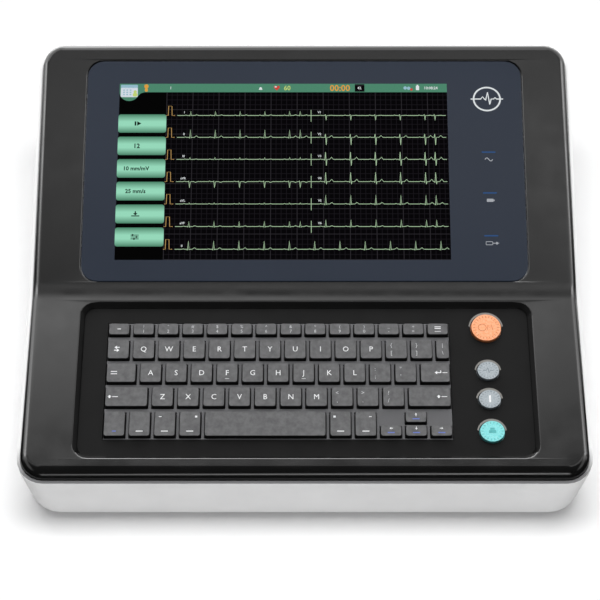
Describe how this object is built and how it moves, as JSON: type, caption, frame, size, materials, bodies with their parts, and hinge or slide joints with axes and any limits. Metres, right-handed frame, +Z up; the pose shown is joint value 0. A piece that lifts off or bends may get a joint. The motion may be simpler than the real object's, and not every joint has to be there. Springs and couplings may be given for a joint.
{
  "type": "ecg machine",
  "caption": "Wedge-shaped table-top ECG machine: sloping touch screen, small keyboard and round function buttons in a sunken deck, chart recorder behind a rear door.",
  "frame": {"origin": "on the table under the middle of the housing", "axes": "+X to the operator's right, +Y away from the operator, +Z up"},
  "size_m": [0.364, 0.3044, 0.1136],
  "materials": {
    "aluminium_case": "folded sheet",
    "battery_blue": "shrink sleeve",
    "black_plastic": "fine grain",
    "charcoal": "satin moulded plastic",
    "circuit_green": "solder mask",
    "gear_white": "moulded acetal",
    "glass_blue": "dark printed back, clear front",
    "key_grey": "fine grain",
    "orange": "satin",
    "pale_grey": "satin moulded plastic",
    "paper": "thermal chart paper, tightly wound",
    "rubber": "moulded",
    "silver_grey": "satin",
    "steel": "plated",
    "teal": "satin"
  },
  "bodies": {
    "machine": {"base_housing": "pale_grey", "battery_door": "pale_grey", "battery_door_screw": "steel", "battery_pack": "battery_blue", "button_circuit_board": "circuit_green", "case_screw_back_left": "steel", "case_screw_back_right": "steel", "case_screw_front_left": "steel", "case_screw_front_right": "steel", "display_bracket": "steel", "door_hinge_rod": "steel", "ecg_input_board": "circuit_green", "ecg_socket": "steel", "foot_back_left": "rubber", "foot_back_right": "rubber", "foot_front_left": "rubber", "foot_front_right": "rubber", "ground_terminal": "steel", "keyboard_circuit_board": "circuit_green", "keyboard_frame": "key_grey", "keyboard_tray": "black_plastic", "lan_socket": "steel", "lcd_panel": "black_plastic", "main_board": "circuit_green", "mains_inlet": "black_plastic", "power_supply": "aluminium_case", "recorder_frame": "black_plastic", "recorder_motor": "steel", "screen_glass": "glass_blue", "thermal_print_head": "steel", "top_cover": "charcoal", "usb_socket": "steel"},
    "number_keys": {"number_keys": "key_grey"},
    "upper_letter_keys": {"upper_letter_keys": "key_grey"},
    "caps_lock_key": {"caps_lock_key": "key_grey"},
    "home_letter_keys": {"home_letter_keys": "key_grey"},
    "enter_key": {"enter_key": "key_grey"},
    "left_shift_key": {"left_shift_key": "key_grey"},
    "lower_letter_keys": {"lower_letter_keys": "key_grey"},
    "right_shift_key": {"right_shift_key": "key_grey"},
    "left_modifier_keys": {"left_modifier_keys": "key_grey"},
    "space_bar": {"space_bar": "key_grey"},
    "right_modifier_keys": {"right_modifier_keys": "key_grey"},
    "arrow_left_key": {"arrow_left_key": "key_grey"},
    "arrow_up_key": {"arrow_up_key": "key_grey"},
    "arrow_down_key": {"arrow_down_key": "key_grey"},
    "arrow_right_key": {"arrow_right_key": "key_grey"},
    "start_button": {"start_button": "orange"},
    "lead_button": {"lead_button": "silver_grey"},
    "mark_button": {"mark_button": "silver_grey"},
    "print_button": {"print_button": "teal"},
    "door": {"recorder_door": "pale_grey"},
    "latch": {"door_latch": "charcoal"},
    "platen": {"platen_roller": "rubber", "platen_gear": "gear_white"},
    "idler": {"idler_gear": "gear_white"},
    "pinion": {"motor_pinion": "gear_white"},
    "paper": {"paper_roll": "paper", "paper_spindle": "gear_white"},
    "rocker": {"mains_switch_rocker": "black_plastic"}
  },
  "joints": [
    {"name": "number_keys_press", "type": "slide", "parent": "machine", "child": "number_keys", "axis": [0, 0.0698, -0.9976], "range_m": [0, 0.0016], "stiffness_N_per_m": 300, "springref_m": -0.002},
    {"name": "upper_letter_keys_press", "type": "slide", "parent": "machine", "child": "upper_letter_keys", "axis": [0, 0.0698, -0.9976], "range_m": [0, 0.0016], "stiffness_N_per_m": 300, "springref_m": -0.002},
    {"name": "caps_lock_key_press", "type": "slide", "parent": "machine", "child": "caps_lock_key", "axis": [0, 0.0698, -0.9976], "range_m": [0, 0.0016], "stiffness_N_per_m": 300, "springref_m": -0.002},
    {"name": "home_letter_keys_press", "type": "slide", "parent": "machine", "child": "home_letter_keys", "axis": [0, 0.0698, -0.9976], "range_m": [0, 0.0016], "stiffness_N_per_m": 300, "springref_m": -0.002},
    {"name": "enter_key_press", "type": "slide", "parent": "machine", "child": "enter_key", "axis": [0, 0.0698, -0.9976], "range_m": [0, 0.0016], "stiffness_N_per_m": 300, "springref_m": -0.002},
    {"name": "left_shift_key_press", "type": "slide", "parent": "machine", "child": "left_shift_key", "axis": [0, 0.0698, -0.9976], "range_m": [0, 0.0016], "stiffness_N_per_m": 300, "springref_m": -0.002},
    {"name": "lower_letter_keys_press", "type": "slide", "parent": "machine", "child": "lower_letter_keys", "axis": [0, 0.0698, -0.9976], "range_m": [0, 0.0016], "stiffness_N_per_m": 300, "springref_m": -0.002},
    {"name": "right_shift_key_press", "type": "slide", "parent": "machine", "child": "right_shift_key", "axis": [0, 0.0698, -0.9976], "range_m": [0, 0.0016], "stiffness_N_per_m": 300, "springref_m": -0.002},
    {"name": "left_modifier_keys_press", "type": "slide", "parent": "machine", "child": "left_modifier_keys", "axis": [0, 0.0698, -0.9976], "range_m": [0, 0.0016], "stiffness_N_per_m": 300, "springref_m": -0.002},
    {"name": "space_bar_press", "type": "slide", "parent": "machine", "child": "space_bar", "axis": [0, 0.0698, -0.9976], "range_m": [0, 0.0016], "stiffness_N_per_m": 300, "springref_m": -0.002},
    {"name": "right_modifier_keys_press", "type": "slide", "parent": "machine", "child": "right_modifier_keys", "axis": [0, 0.0698, -0.9976], "range_m": [0, 0.0016], "stiffness_N_per_m": 300, "springref_m": -0.002},
    {"name": "arrow_left_key_press", "type": "slide", "parent": "machine", "child": "arrow_left_key", "axis": [0, 0.0698, -0.9976], "range_m": [0, 0.0016], "stiffness_N_per_m": 300, "springref_m": -0.002},
    {"name": "arrow_up_key_press", "type": "slide", "parent": "machine", "child": "arrow_up_key", "axis": [0, 0.0698, -0.9976], "range_m": [0, 0.0016], "stiffness_N_per_m": 300, "springref_m": -0.002},
    {"name": "arrow_down_key_press", "type": "slide", "parent": "machine", "child": "arrow_down_key", "axis": [0, 0.0698, -0.9976], "range_m": [0, 0.0016], "stiffness_N_per_m": 300, "springref_m": -0.002},
    {"name": "arrow_right_key_press", "type": "slide", "parent": "machine", "child": "arrow_right_key", "axis": [0, 0.0698, -0.9976], "range_m": [0, 0.0016], "stiffness_N_per_m": 300, "springref_m": -0.002},
    {"name": "start_button_press", "type": "slide", "parent": "machine", "child": "start_button", "axis": [0, 0.0698, -0.9976], "range_m": [0, 0.0015], "stiffness_N_per_m": 300, "springref_m": -0.002},
    {"name": "lead_button_press", "type": "slide", "parent": "machine", "child": "lead_button", "axis": [0, 0.0698, -0.9976], "range_m": [0, 0.0015], "stiffness_N_per_m": 300, "springref_m": -0.002},
    {"name": "mark_button_press", "type": "slide", "parent": "machine", "child": "mark_button", "axis": [0, 0.0698, -0.9976], "range_m": [0, 0.0015], "stiffness_N_per_m": 300, "springref_m": -0.002},
    {"name": "print_button_press", "type": "slide", "parent": "machine", "child": "print_button", "axis": [0, 0.0698, -0.9976], "range_m": [0, 0.0015], "stiffness_N_per_m": 300, "springref_m": -0.002},
    {"name": "recorder_door_hinge", "type": "hinge", "parent": "machine", "child": "door", "pos_m": [0, 0.1492, 0.0422], "axis": [-1, 0, 0], "range_deg": [0, 85]},
    {"name": "door_latch_slide", "type": "slide", "parent": "door", "child": "latch", "axis": [0, 0, -1], "range_m": [0, 0.003], "stiffness_N_per_m": 200, "springref_m": -0.002},
    {"name": "platen_spin", "type": "hinge", "parent": "door", "child": "platen", "pos_m": [0, 0.1415, 0.0835], "axis": [1, 0, 0], "continuous": true},
    {"name": "idler_spin", "type": "hinge", "parent": "machine", "child": "idler", "pos_m": [0.105, 0.1261, 0.0835], "axis": [1, 0, 0], "continuous": true},
    {"name": "pinion_spin", "type": "hinge", "parent": "machine", "child": "pinion", "pos_m": [0.105, 0.1198, 0.07259], "axis": [1, 0, 0], "continuous": true},
    {"name": "paper_spin", "type": "hinge", "parent": "machine", "child": "paper", "pos_m": [0, 0.109, 0.06], "axis": [1, 0, 0], "continuous": true},
    {"name": "mains_switch_tilt", "type": "hinge", "parent": "machine", "child": "rocker", "pos_m": [0.146, 0.1482, 0.055], "axis": [1, 0, 0], "range_deg": [0, 14]}
  ],
  "couplings": [
    {"joint": "idler_spin", "follows": "platen_spin", "ratio": -0.83333},
    {"joint": "pinion_spin", "follows": "platen_spin", "ratio": 1.6667},
    {"joint": "paper_spin", "follows": "platen_spin", "ratio": -0.28}
  ]
}
